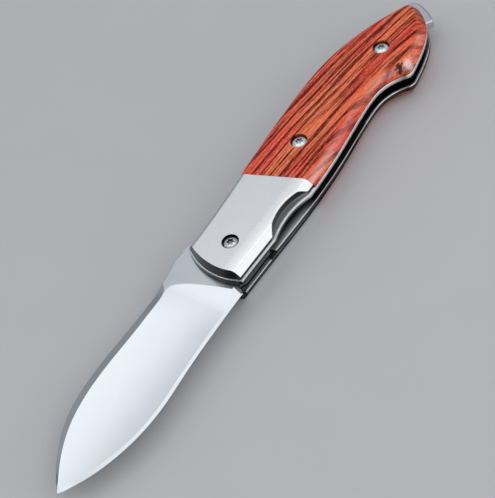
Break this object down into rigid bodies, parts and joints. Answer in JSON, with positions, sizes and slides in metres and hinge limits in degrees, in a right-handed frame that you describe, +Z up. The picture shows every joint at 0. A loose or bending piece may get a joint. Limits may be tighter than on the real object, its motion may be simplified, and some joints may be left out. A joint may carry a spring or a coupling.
{
  "type": "folding pocket knife",
  "caption": "Folding pocket knife with a drop-point blade, steel bolsters, wood scales and a liner lock, modelled open and lying on its side.",
  "frame": {"origin": "where the blade's pivot axis meets the plane that the knife lies on, the outer face of the rear bolster", "axes": "+X towards the butt of the handle, +Y towards the back of the blade and the spine, +Z up through the front side"},
  "size_m": [0.172, 0.0246, 0.0118],
  "materials": {
    "blade_steel": "satin ground",
    "bolster_steel": "satin",
    "liner_steel": "fine brushed",
    "spacer_steel": "fine brushed",
    "rosewood": "oiled and polished",
    "screw_steel": "polished",
    "pin_steel": "ground",
    "washer_bronze": "rolled"
  },
  "bodies": {
    "handle": {"front_liner": "liner_steel", "rear_liner": "liner_steel", "front_bolster": "bolster_steel", "rear_bolster": "bolster_steel", "front_scale": "rosewood", "rear_scale": "rosewood", "back_spacer": "spacer_steel", "spacer_pins": "pin_steel", "pivot_barrel": "pin_steel", "front_washer": "washer_bronze", "rear_washer": "washer_bronze", "stop_pin": "pin_steel", "front_pivot_screw": "screw_steel", "rear_pivot_screw": "screw_steel", "front_scale_screws": "screw_steel", "rear_scale_screws": "screw_steel", "front_bolster_screws": "pin_steel", "rear_bolster_screws": "pin_steel"},
    "blade_body": {"blade": "blade_steel"},
    "lock_body": {"lock_bar": "liner_steel", "detent_ball": "pin_steel"}
  },
  "joints": [
    {"name": "blade_pivot", "type": "hinge", "parent": "handle", "child": "blade_body", "pos_m": [0, 0, 0.0059], "axis": [0, 0, 1], "range_deg": [0, 180], "deforming": ["lock_bar", "detent_ball"]},
    {"name": "lock_bar_flex", "type": "hinge", "parent": "handle", "child": "lock_body", "pos_m": [0.052, 0, 0.0038], "axis": [0, 1, 0], "range_deg": [-1.2, 0]}
  ],
  "couplings": [
    {"joint": "lock_bar_flex", "follows": "blade_pivot", "ratio": -0.0066666}
  ]
}
